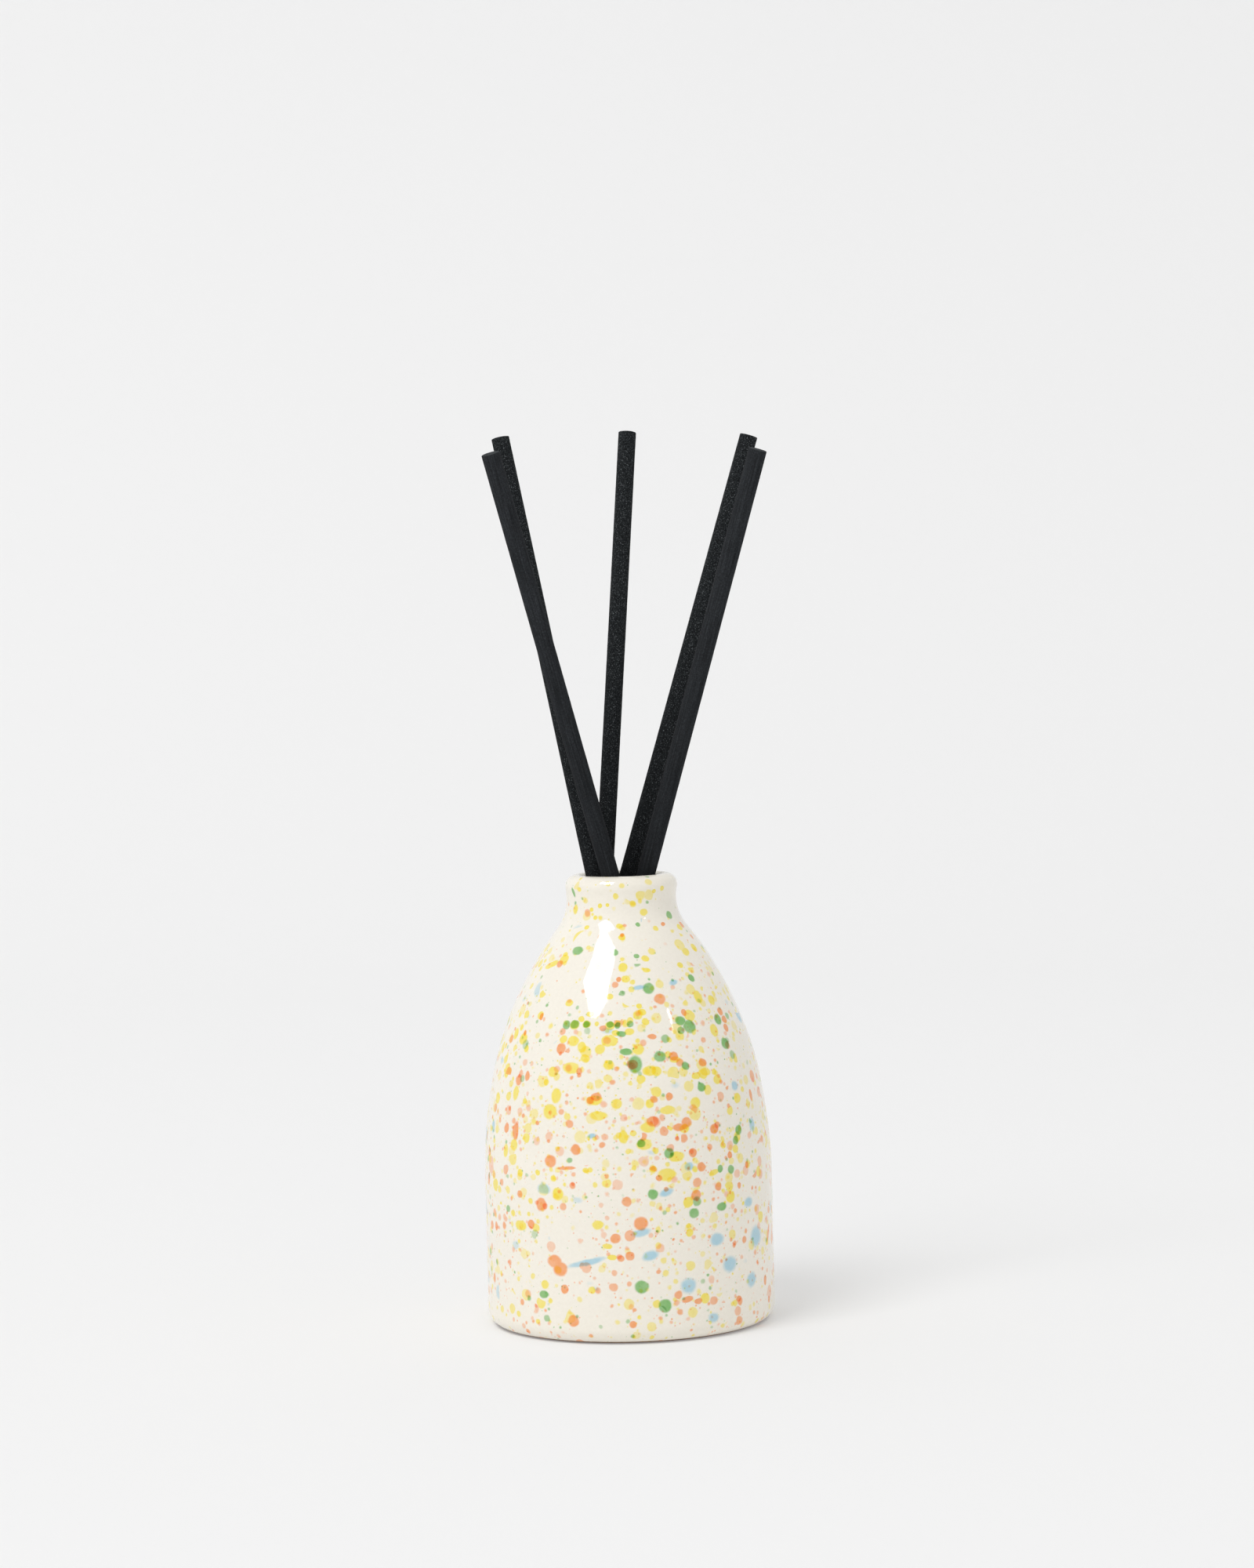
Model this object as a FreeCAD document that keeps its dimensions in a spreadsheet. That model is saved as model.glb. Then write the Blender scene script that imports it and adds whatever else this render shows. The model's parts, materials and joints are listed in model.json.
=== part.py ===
import FreeCAD, Part
import Sketcher
import os
from math import asin, atan2, cos, hypot, pi, radians, sin, sqrt, tan

# Reed diffuser: a glazed ceramic bottle, the fragrance oil in it and five fibre reeds.
# Millimetres and degrees. +Z is up and the front is towards -Y. The origin is on the
# bottle's axis, in the plane that its foot ring stands on.

DRIVING_SIZES = {
    "body_width": 65.0,         # across the bottle's straight side
    "vessel_height": 101.0,     # foot ring to the crest of the lip
    "wall_thickness": 3.5,      # slip-cast wall with its glaze, the same all the way up
    "floor_thickness": 3.0,
    "floor_round": 2.5,         # inside corner between floor and wall
    "foot_round": 3.5,          # outside corner above the foot ring
    "foot_land": 2.4,           # width of the unglazed ring that touches the table
    "foot_recess": 1.2,         # height of the hollow inside the ring
    "shoulder_start": 31.7,     # where the straight side ends
    "shoulder_radius": 124.0,   # long arc that starts the shoulder
    "shoulder_turn": 10.0,      # angle that the long arc turns through
    "neck_radius": 10.5,        # hollow curve between shoulder and lip
    "lip_overhang": 0.3,        # how far the lip stands out from the neck
    "lip_round": 2.6,           # outer roll of the lip
    "reed_diameter": 4.0,
    "reed_length": 200.0,
    "bundle_spread": 1.6,       # axis to the outermost reed at the lip, in reed diameters
    "mouth_clearance": 0.45,    # mouth bore to that reed, which also covers its tilt
    "wall_clearance": 0.6,      # cavity wall to the widest reed's foot
    "floor_clearance": 0.1,     # floor to a reed's lower end
    "oil_level": 44.0,          # the oil's surface above the table, about 100 ml
    "oil_gap": 0.3,             # oil to a reed, so that the reed lifts out freely
}

# Each reed: where it passes the lip (bearing in degrees from +X, and share of the bundle's
# spread), how it leans (right and back, in degrees) and how high its foot is caught.
REEDS = {
    "reed_centre": (151.5, 0.70, 4.4, 10.3, 0.0),
    "reed_back_left": (205.8, 0.94, -10.8, 6.7, 0.0),
    "reed_front_left": (254.3, 0.975, -14.1, -11.6, 0.0),
    "reed_back_right": (79.7, 0.995, 16.7, 3.1, 3.0),
    "reed_front_right": (-14.3, 0.80, 15.8, -9.5, 0.0),
}

# Sizes that follow from the driving ones, as the sketches' constraints state them.
BODY_RADIUS = "Sizes.body_width / 2"
FLOOR_TOP = "Sizes.foot_recess + Sizes.floor_thickness"
MOUTH_RADIUS = "(Sizes.bundle_spread + 0.5) * Sizes.reed_diameter + Sizes.mouth_clearance"
NECK_CENTRE_X = MOUTH_RADIUS + " + Sizes.wall_thickness + Sizes.neck_radius"
LIP_CENTRE_X = MOUTH_RADIUS + " + Sizes.wall_thickness + Sizes.lip_overhang - Sizes.lip_round"
LIP_CENTRE_Z = "Sizes.vessel_height - Sizes.lip_round"
NECK_CENTRE_Z = (
    LIP_CENTRE_Z + " - sqrt((Sizes.neck_radius + Sizes.lip_round) ^ 2"
    " - (Sizes.neck_radius + Sizes.lip_round - Sizes.lip_overhang) ^ 2)"
)

START, END, CENTRE = 1, 2, 3    # which point of a sketch element a constraint holds
ORIGIN = (-1, START)
AXIS_ACROSS, AXIS_UP = -1, -2


def make_sheet(document):
    sheet = document.addObject("Spreadsheet::Sheet", "Sizes")
    for row, (name, value) in enumerate(DRIVING_SIZES.items(), start=1):
        sheet.set("A%d" % row, name)
        sheet.set("B%d" % row, str(value))
        sheet.setAlias("B%d" % row, name)
    document.recompute()
    return sheet


def amount(expression):
    """The value of a size or of an expression of sizes."""
    return float(sheet.evalExpression(expression))


# ---- sketch elements and their constraints

def add_line(sketch, start, end):
    return sketch.addGeometry(Part.LineSegment(
        FreeCAD.Vector(*start, 0), FreeCAD.Vector(*end, 0)))


def add_arc(sketch, centre, radius, start_angle, end_angle):
    circle = Part.Circle(FreeCAD.Vector(*centre, 0), FreeCAD.Vector(0, 0, 1), radius)
    return sketch.addGeometry(Part.ArcOfCircle(circle, start_angle, end_angle))


def relate(sketch, kind, *where):
    sketch.addConstraint(Sketcher.Constraint(kind, *where))


def bind(sketch, name, expression, kind, *where):
    """A dimension that follows the sheet."""
    value = amount(expression)
    if kind == "Angle":
        value = radians(value)
    constraint = sketch.addConstraint(Sketcher.Constraint(kind, *where, value))
    sketch.renameConstraint(constraint, name)
    sketch.setExpression("Constraints." + name, expression)


def new_half_section(document, name):
    """A body with an empty sketch in its XZ plane, to be turned about Z."""
    body = document.addObject("PartDesign::Body", name)
    sketch = body.newObject("Sketcher::SketchObject", name + "_section")
    plane = next(f for f in body.Origin.OriginFeatures if f.Role == "XZ_Plane")
    sketch.AttachmentSupport = [(plane, "")]
    sketch.MapMode = "FlatFace"
    return body, sketch


def turn(body, sketch):
    revolution = body.newObject("PartDesign::Revolution", body.Name + "_turned")
    revolution.Profile = sketch
    revolution.ReferenceAxis = (sketch, ["V_Axis"])
    revolution.Angle = 360
    body.Tip = revolution


# ---- the bottle

def draw_side(sketch, inset_size, corner_size, base, neck_top):
    """Corner round, straight side, two shoulder arcs and the neck arc.

    All of it lies inside the outer face by inset_size. The upper shoulder arc has no size
    of its own: it is the one arc that runs smoothly from the lower arc into the neck.
    neck_top is the angle at which the neck arc ends. Returns the corner and the neck arc.
    """
    inset = amount(inset_size)
    corner_radius = amount(corner_size)
    side = amount(BODY_RADIUS) - inset
    start = amount("Sizes.shoulder_start")
    low_radius = amount("Sizes.shoulder_radius")
    low_turn = radians(amount("Sizes.shoulder_turn"))
    neck_radius = amount("Sizes.neck_radius")
    neck_centre = FreeCAD.Vector(amount(NECK_CENTRE_X), amount(NECK_CENTRE_Z), 0)

    low_centre = FreeCAD.Vector(side + inset - low_radius, start, 0)
    outward = FreeCAD.Vector(cos(low_turn), sin(low_turn), 0)
    meeting = low_centre + outward * low_radius
    across = neck_centre - meeting
    high_radius = (across.dot(across) - neck_radius ** 2) / 2 / (neck_radius - across.dot(outward))
    high_centre = meeting - outward * high_radius
    to_neck = neck_centre - high_centre
    high_turn = atan2(to_neck.y, to_neck.x)

    corner = add_arc(sketch, (side - corner_radius, base + corner_radius), corner_radius,
                     -pi / 2, 0)
    wall = add_line(sketch, (side, base + corner_radius), (side, start))
    low = add_arc(sketch, (low_centre.x, low_centre.y), low_radius - inset, 0, low_turn)
    high = add_arc(sketch, (high_centre.x, high_centre.y), high_radius - inset,
                   low_turn, high_turn)
    neck = add_arc(sketch, (neck_centre.x, neck_centre.y), neck_radius + inset,
                   neck_top, pi + high_turn)
    relate(sketch, "Tangent", corner, END, wall, START)
    relate(sketch, "Tangent", wall, END, low, START)
    relate(sketch, "Tangent", low, END, high, START)
    relate(sketch, "Tangent", high, END, neck, END)
    relate(sketch, "Vertical", wall)
    bind(sketch, "side", BODY_RADIUS + " - " + inset_size, "DistanceX", *ORIGIN, wall, START)
    bind(sketch, "corner", corner_size, "Radius", corner)
    bind(sketch, "shoulder_start", "Sizes.shoulder_start", "DistanceY", *ORIGIN, wall, END)
    bind(sketch, "low_arc", "Sizes.shoulder_radius - " + inset_size, "Radius", low)
    bind(sketch, "low_turn", "Sizes.shoulder_turn", "Angle", low)
    bind(sketch, "neck_arc", "Sizes.neck_radius + " + inset_size, "Radius", neck)
    bind(sketch, "neck_across", NECK_CENTRE_X, "DistanceX", *ORIGIN, neck, CENTRE)
    bind(sketch, "neck_up", NECK_CENTRE_Z, "DistanceY", *ORIGIN, neck, CENTRE)
    return corner, neck


def close_on_axis(sketch, top_end, bottom_start, top, bottom):
    """The stretch along the axis that closes a half section."""
    axis = add_line(sketch, (0, top), (0, bottom))
    relate(sketch, "Coincident", *top_end, axis, START)
    relate(sketch, "Coincident", axis, END, *bottom_start)
    relate(sketch, "Vertical", axis)
    relate(sketch, "PointOnObject", axis, START, AXIS_UP)


def make_blank(document):
    """The bottle's outer form with its foot ring, still solid inside."""
    body, sketch = new_half_section(document, "bottle_form")
    side = amount(BODY_RADIUS)
    recess = amount("Sizes.foot_recess")
    top = amount("Sizes.vessel_height")
    lip_round = amount("Sizes.lip_round")
    lip_centre = (amount(LIP_CENTRE_X), amount(LIP_CENTRE_Z))
    ring_outside = side - amount("Sizes.foot_round")
    ring_inside = ring_outside - amount("Sizes.foot_land")
    rise = lip_centre[1] - amount(NECK_CENTRE_Z)
    lip_angle = asin(rise / (amount("Sizes.neck_radius") + lip_round))

    recess_top = add_line(sketch, (0, recess), (ring_inside - recess, recess))
    slope = add_line(sketch, (ring_inside - recess, recess), (ring_inside, 0))
    land = add_line(sketch, (ring_inside, 0), (ring_outside, 0))
    corner, neck = draw_side(sketch, "0", "Sizes.foot_round", 0, pi - lip_angle)
    lip = add_arc(sketch, lip_centre, lip_round, -lip_angle, pi / 2)
    crest = add_line(sketch, (lip_centre[0], top), (0, top))
    relate(sketch, "Coincident", recess_top, END, slope, START)
    relate(sketch, "Coincident", slope, END, land, START)
    relate(sketch, "Tangent", land, END, corner, START)
    relate(sketch, "Tangent", neck, START, lip, START)
    relate(sketch, "Coincident", lip, END, crest, START)
    relate(sketch, "Horizontal", recess_top)
    relate(sketch, "Horizontal", land)
    relate(sketch, "Horizontal", crest)
    relate(sketch, "PointOnObject", land, START, AXIS_ACROSS)
    relate(sketch, "Vertical", lip, CENTRE, lip, END)
    close_on_axis(sketch, (crest, END), (recess_top, START), top, recess)
    bind(sketch, "recess", "Sizes.foot_recess", "DistanceY", *ORIGIN, slope, START)
    bind(sketch, "slope_width", "Sizes.foot_recess", "DistanceX", slope, START, slope, END)
    bind(sketch, "land_width", "Sizes.foot_land", "DistanceX", land, START, land, END)
    bind(sketch, "lip_arc", "Sizes.lip_round", "Radius", lip)
    bind(sketch, "crest_height", "Sizes.vessel_height", "DistanceY", *ORIGIN, lip, END)
    turn(body, sketch)
    return body


def make_cavity(document):
    """The hollow that the bottle holds its oil in, up through the mouth."""
    body, sketch = new_half_section(document, "cavity_form")
    floor = amount(FLOOR_TOP)
    side = amount(BODY_RADIUS) - amount("Sizes.wall_thickness")
    corner_radius = amount("Sizes.floor_round")
    top = amount("Sizes.vessel_height")
    mouth = amount(MOUTH_RADIUS)
    flare_radius = amount(LIP_CENTRE_X) - mouth

    base = add_line(sketch, (0, floor), (side - corner_radius, floor))
    corner, neck = draw_side(sketch, "Sizes.wall_thickness", "Sizes.floor_round", floor, pi)
    bore = add_line(sketch, (mouth, amount(NECK_CENTRE_Z)), (mouth, top - flare_radius))
    flare = add_arc(sketch, (mouth + flare_radius, top - flare_radius), flare_radius,
                    pi / 2, pi)
    crest = add_line(sketch, (mouth + flare_radius, top), (0, top))
    relate(sketch, "Tangent", base, END, corner, START)
    relate(sketch, "Tangent", neck, START, bore, START)
    relate(sketch, "Tangent", bore, END, flare, END)
    relate(sketch, "Coincident", flare, START, crest, START)
    relate(sketch, "Horizontal", base)
    relate(sketch, "Vertical", bore)
    relate(sketch, "Horizontal", crest)
    relate(sketch, "Vertical", flare, CENTRE, flare, START)
    close_on_axis(sketch, (crest, END), (base, START), top, floor)
    bind(sketch, "floor", FLOOR_TOP, "DistanceY", *ORIGIN, base, END)
    bind(sketch, "flare_across", LIP_CENTRE_X, "DistanceX", *ORIGIN, flare, CENTRE)
    bind(sketch, "crest_height", "Sizes.vessel_height", "DistanceY", *ORIGIN, flare, START)
    turn(body, sketch)
    return body


def make_vessel(document, blank, cavity):
    vessel = document.addObject("Part::Cut", "vessel")
    vessel.Base = blank
    vessel.Tool = cavity
    return vessel


# ---- the reeds

def foot_spread(passing, slope, drop, reach):
    """How far a lean can be opened until the foot is at the reach from the axis."""
    a = (slope[0] ** 2 + slope[1] ** 2) * drop ** 2
    b = -2 * drop * (passing[0] * slope[0] + passing[1] * slope[1])
    c = passing[0] ** 2 + passing[1] ** 2 - reach ** 2
    return (-b + sqrt(b * b - 4 * a * c)) / (2 * a)


def reed_axes():
    """Each reed's lower end and direction.

    The leans keep their proportions, and open together until the widest foot is at its
    clearance from the cavity's wall.
    """
    radius = amount("Sizes.reed_diameter") / 2
    lip_height = amount(LIP_CENTRE_Z)
    spread = amount("Sizes.bundle_spread * Sizes.reed_diameter")
    seat = amount(FLOOR_TOP) + amount("Sizes.floor_clearance")
    reach = amount(BODY_RADIUS) - amount("Sizes.wall_thickness + Sizes.wall_clearance") - radius

    lines = {}
    for name, (bearing, share, lean_right, lean_back, caught) in REEDS.items():
        passing = (share * spread * cos(radians(bearing)), share * spread * sin(radians(bearing)))
        slope = (tan(radians(lean_right)), tan(radians(lean_back)))
        lines[name] = (passing, slope, caught)
    opening = min(foot_spread(passing, slope, lip_height - seat - caught, reach)
                  for passing, slope, caught in lines.values())

    axes = {}
    for name, (passing, slope, caught) in lines.items():
        direction = FreeCAD.Vector(slope[0] * opening, slope[1] * opening, 1)
        tilt_rise = radius * hypot(direction.x, direction.y) / direction.Length
        foot_height = seat + caught + tilt_rise
        at_lip = FreeCAD.Vector(passing[0], passing[1], lip_height)
        foot = at_lip - direction * (lip_height - foot_height)
        axes[name] = (foot, direction.normalize())
    return axes


def make_rod(document, name, radius_expression, foot, direction):
    rod = document.addObject("Part::Cylinder", name)
    rod.setExpression("Radius", radius_expression)
    rod.setExpression("Height", "Sizes.reed_length")
    rod.Placement = FreeCAD.Placement(
        foot, FreeCAD.Rotation(FreeCAD.Vector(0, 0, 1), direction))
    return rod


def make_reeds(document, axes):
    return [make_rod(document, name, "Sizes.reed_diameter / 2", foot, direction)
            for name, (foot, direction) in axes.items()]


# ---- the oil

def make_oil(document, cavity, axes):
    """The oil fills the cavity to its level, and leaves a clear hole round each reed."""
    below_level = document.addObject("Part::Cylinder", "below_level")
    below_level.setExpression("Radius", "Sizes.body_width / 2")
    below_level.setExpression("Height", "Sizes.oil_level")
    filling = document.addObject("Part::Common", "filling")
    filling.Base = cavity
    filling.Tool = below_level

    gap = amount("Sizes.oil_gap")
    holes = document.addObject("Part::MultiFuse", "reed_holes")
    holes.Shapes = [
        make_rod(document, name + "_hole", "Sizes.reed_diameter / 2 + Sizes.oil_gap",
                 foot - direction * gap, direction)
        for name, (foot, direction) in axes.items()]
    oil = document.addObject("Part::Cut", "fragrance_oil")
    oil.Base = filling
    oil.Tool = holes
    return oil


def check(document, nodes, sketches):
    for item in document.Objects:
        if "Invalid" in item.State or "Error" in item.State:
            raise RuntimeError(item.Name + " did not build")
    for sketch in sketches:
        if not sketch.FullyConstrained:
            raise RuntimeError(sketch.Name + " is not fully constrained")
    for node in nodes:
        shape = node.Shape
        if shape.isNull() or not shape.isValid() or len(shape.Solids) != 1:
            raise RuntimeError(node.Label + " is not one valid solid")


document = FreeCAD.newDocument("reed_diffuser")
sheet = make_sheet(document)
blank = make_blank(document)
cavity = make_cavity(document)
vessel = make_vessel(document, blank, cavity)
axes = reed_axes()
reeds = make_reeds(document, axes)
oil = make_oil(document, cavity, axes)
document.recompute()

nodes = [vessel, oil] + reeds
for node in nodes:
    node.Label = node.Name
check(document, nodes, [o for o in document.Objects if o.TypeId == "Sketcher::SketchObject"])
if vessel.Shape.Volume > blank.Shape.Volume - 0.99 * cavity.Shape.Volume:
    raise RuntimeError("the cavity did not cut the bottle")

os.makedirs("parts", exist_ok=True)
for node in nodes:
    node.Shape.exportStep("parts/%s.step" % node.Label)
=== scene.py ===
import json
import math

import bmesh
import bpy
from mathutils import Matrix, Vector


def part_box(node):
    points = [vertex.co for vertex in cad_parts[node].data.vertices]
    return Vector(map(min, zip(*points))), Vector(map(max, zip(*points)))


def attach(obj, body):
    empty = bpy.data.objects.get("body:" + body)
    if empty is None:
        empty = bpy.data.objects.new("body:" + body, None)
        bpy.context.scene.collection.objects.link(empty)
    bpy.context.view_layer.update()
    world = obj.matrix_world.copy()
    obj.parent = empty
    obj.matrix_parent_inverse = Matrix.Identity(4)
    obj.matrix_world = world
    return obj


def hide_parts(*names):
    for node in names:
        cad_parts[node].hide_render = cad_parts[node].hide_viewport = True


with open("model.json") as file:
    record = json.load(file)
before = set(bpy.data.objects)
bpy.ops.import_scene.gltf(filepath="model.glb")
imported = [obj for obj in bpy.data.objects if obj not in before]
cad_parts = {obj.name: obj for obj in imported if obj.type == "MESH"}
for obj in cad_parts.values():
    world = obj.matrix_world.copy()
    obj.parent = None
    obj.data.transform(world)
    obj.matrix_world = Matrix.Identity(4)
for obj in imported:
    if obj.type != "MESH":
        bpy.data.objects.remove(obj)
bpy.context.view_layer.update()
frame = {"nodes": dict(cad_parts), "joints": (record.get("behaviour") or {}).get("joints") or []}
print("frame loaded:", ", ".join(sorted(frame["nodes"])))

mm = 0.001                       # sizes below are in millimetres, the scene is in metres
close = 1e-4                     # metres: places nearer than this are taken as the same


# small helpers

def toLinear(hexColour):
    parts = [int(hexColour[at:at + 2], 16) / 255 for at in (1, 3, 5)]
    return [p / 12.92 if p <= 0.04045 else ((p + 0.055) / 1.055) ** 2.4 for p in parts] + [1.0]


def addNode(tree, kind, settings=None, inputs=None):
    node = tree.nodes.new("ShaderNode" + kind)
    for name, value in (settings or {}).items():
        setattr(node, name, value)
    for socket, value in (inputs or {}).items():
        if isinstance(value, bpy.types.NodeSocket):
            tree.links.new(value, node.inputs[socket])
        else:
            node.inputs[socket].default_value = value
    return node


def setStops(ramp, stops, interpolation="LINEAR"):
    colourRamp = ramp.color_ramp
    colourRamp.interpolation = interpolation
    while len(colourRamp.elements) < len(stops):
        colourRamp.elements.new(1.0)
    for element, (at, colour) in zip(colourRamp.elements, stops):
        element.position = at
        element.color = toLinear(colour) if isinstance(colour, str) else (colour, colour, colour, 1)


def newMaterial(name):
    material = bpy.data.materials.new(name)
    material.use_nodes = True
    material.node_tree.nodes.clear()
    return material, material.node_tree


def finishMaterial(tree, shader):
    addNode(tree, "OutputMaterial", inputs={"Surface": shader.outputs[0]})


def deselectAll():
    if bpy.context.object and bpy.context.object.mode != "OBJECT":
        bpy.ops.object.mode_set(mode="OBJECT")
    bpy.ops.object.select_all(action="DESELECT")


def pick(piece, part, test):
    # selects the verts, edges or faces that pass the test, in edit mode
    mesh = bmesh.from_edit_mesh(piece.data)
    for group in (mesh.faces, mesh.edges, mesh.verts):
        for item in group:
            item.select = False
    mesh.select_mode = {{"verts": "VERT", "edges": "EDGE", "faces": "FACE"}[part]}
    bpy.context.tool_settings.mesh_select_mode = [part == kind for kind in ("verts", "edges", "faces")]
    for item in getattr(mesh, part):
        if test(item):
            item.select_set(True)
    mesh.select_flush_mode()
    bmesh.update_edit_mesh(piece.data)


def arc(centre, radius, fromAngle, toAngle, steps):
    # points along an arc of the turned outline, as (distance from the axis, height)
    turn = (toAngle - fromAngle) / steps
    angles = [math.radians(fromAngle + turn * at) for at in range(steps + 1)]
    return [(centre[0] + radius * math.cos(a), centre[1] + radius * math.sin(a)) for a in angles]


def turnShape(name, outline, sides):
    # a ring is set down at the first point, then extruded and scaled ring by ring along the outline
    deselectAll()
    radius, height = outline[0]
    bpy.ops.mesh.primitive_circle_add(vertices=sides, radius=radius * mm, location=(0, 0, height * mm))
    piece = bpy.context.object
    piece.name = piece.data.name = name
    bpy.ops.object.transform_apply(location=True, rotation=True, scale=True)
    bpy.ops.object.mode_set(mode="EDIT")
    bpy.ops.mesh.select_all(action="SELECT")
    for nextRadius, nextHeight in outline[1:]:
        rise = (nextHeight - height) * mm
        bpy.ops.mesh.extrude_region_move(TRANSFORM_OT_translate={"value": (0, 0, rise)})
        grow = nextRadius / radius
        if grow != 1:
            bpy.ops.transform.resize(value=(grow, grow, 1), center_override=(0, 0, nextHeight * mm))
        radius, height = nextRadius, nextHeight
    bpy.ops.mesh.merge(type="CENTER")                              # closes the last pole
    pick(piece, "verts", lambda v: v.is_boundary)
    bpy.ops.mesh.merge(type="CENTER")                              # and the first one
    bpy.ops.mesh.select_all(action="SELECT")
    bpy.ops.mesh.normals_make_consistent(inside=False)
    bpy.ops.object.mode_set(mode="OBJECT")
    bpy.ops.object.shade_smooth()
    return piece


# camera, set down first: a long lens, a little above the lip

camera = {
    "distance": 0.8652,
    "height": 0.16285,
    "lens": 58.89,
    "sensorHeight": 24,
    "clipStart": 0.01,
    "lookDown": 0.0482,          # radians
    "lookAside": -0.00216,
    "lean": -0.0250,
}

deselectAll()
bpy.ops.object.camera_add(location=(0, -camera["distance"], camera["height"]))
shot = bpy.context.object
shot.name = "shot"
shot.data.sensor_fit = "VERTICAL"
shot.data.sensor_height = camera["sensorHeight"]
shot.data.lens = camera["lens"]
shot.data.clip_start = camera["clipStart"]
shot.matrix_world = (
    Matrix.Translation((0, -camera["distance"], camera["height"]))
    @ Matrix.Rotation(camera["lookAside"], 4, "Z")
    @ Matrix.Rotation(math.pi / 2 - camera["lookDown"], 4, "X")
    @ Matrix.Rotation(camera["lean"], 4, "Z")
)
bpy.context.scene.camera = shot
bpy.context.scene.view_settings.view_transform = "Standard"
print("camera set")


# the slip-cast bottle: one closed shell, outside, lip, inside and foot

bottle = {
    "bodyRadius": 32.5,
    "wall": 3.5,
    "footRound": 3.5,
    "footLand": 2.4,
    "footRecess": 1.2,
    "recessRings": (8, 16, 22),
    "slopeTop": ((-0.2, 0.0), (0.15, -0.12)),      # the slope inside the foot ring eases in
    "slopeFoot": ((-0.35, 0.22), (0.15, 0.0)),     # and out again
    "sideRings": (6, 9, 12, 15, 18, 21, 24, 27, 29.5),
    "shoulderStart": 31.7,
    "shoulderRadius": 124.0,
    "shoulderTurn": 10.0,        # degrees
    "neckRadius": 10.5,
    "waistRadius": 12.35,
    "lipRound": 2.6,
    "lipOut": 12.65,
    "lipHeight": 98.4,
    "mouthRound": 1.2,
    "mouthRings": (98.2, 96.9),
    "insideRings": (26, 20, 14, 9),
    "floorTop": 4.2,
    "floorRound": 2.5,
    "floorRings": (18, 9),
    "pole": 1.5,                 # the small ring that the middle closes on
    "sides": 256,
    # how many steps each arc of the outline is drawn with
    "steps": {"foot": 14, "low": 12, "high": 26, "neck": 20, "lip": 16, "mouth": 8,
              "neckIn": 12, "highIn": 18, "lowIn": 8, "floor": 8},
    "unevenness": 0.3,           # how far the wall wanders
    "unevenLength": 17.0,
    "unevenFrom": (7, 97),       # between these heights
    "unevenFade": 8,
    "bareShadeUpTo": 0.45,            # the glaze stops this far above the table; this bare band is painted dark as the contact shadow
    "linerUpTo": 99.0,           # the plain inside glaze stops at the lip
    "linerDepth": 1.7,           # what lies this far within the outside is inside
}


def bottleArcs():
    # the two shoulder arcs and the neck arc meet without a corner
    b = bottle
    turn = math.radians(b["shoulderTurn"])
    low = (b["bodyRadius"] - b["shoulderRadius"], b["shoulderStart"])
    along = (math.cos(turn), math.sin(turn))
    meet = (low[0] + b["shoulderRadius"] * along[0], low[1] + b["shoulderRadius"] * along[1])
    lip = (b["lipOut"] - b["lipRound"], b["lipHeight"])
    neckOut = b["waistRadius"] + b["neckRadius"]
    reach = b["neckRadius"] + b["lipRound"]
    neck = (neckOut, lip[1] - math.sqrt(reach ** 2 - (neckOut - lip[0]) ** 2))
    gap = (neck[0] - meet[0], neck[1] - meet[1])
    forward = gap[0] * along[0] + gap[1] * along[1]
    highRadius = (gap[0] ** 2 + gap[1] ** 2 - b["neckRadius"] ** 2) / (2 * b["neckRadius"] - 2 * forward)
    high = (meet[0] - highRadius * along[0], meet[1] - highRadius * along[1])
    highEnd = math.degrees(math.atan2(neck[1] - high[1], neck[0] - high[0]))
    lipStart = math.degrees(math.atan2(neck[1] - lip[1], neck[0] - lip[0]))
    return {"low": low, "high": high, "highRadius": highRadius, "highEnd": highEnd,
            "neck": neck, "lip": lip, "lipStart": lipStart}


def outsideRadius(height):
    # distance of the outer wall from the axis at a height, for the placed drops
    shape = bottleArcs()
    neckStart = shape["high"][1] + shape["highRadius"] * math.sin(math.radians(shape["highEnd"]))
    if height < bottle["shoulderStart"]:
        return bottle["bodyRadius"]
    if height < shape["low"][1] + bottle["shoulderRadius"] * math.sin(math.radians(bottle["shoulderTurn"])):
        return shape["low"][0] + math.sqrt(bottle["shoulderRadius"] ** 2 - (height - shape["low"][1]) ** 2)
    if height < neckStart:
        return shape["high"][0] + math.sqrt(shape["highRadius"] ** 2 - (height - shape["high"][1]) ** 2)
    return shape["neck"][0] - math.sqrt(bottle["neckRadius"] ** 2 - (height - shape["neck"][1]) ** 2)


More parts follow.
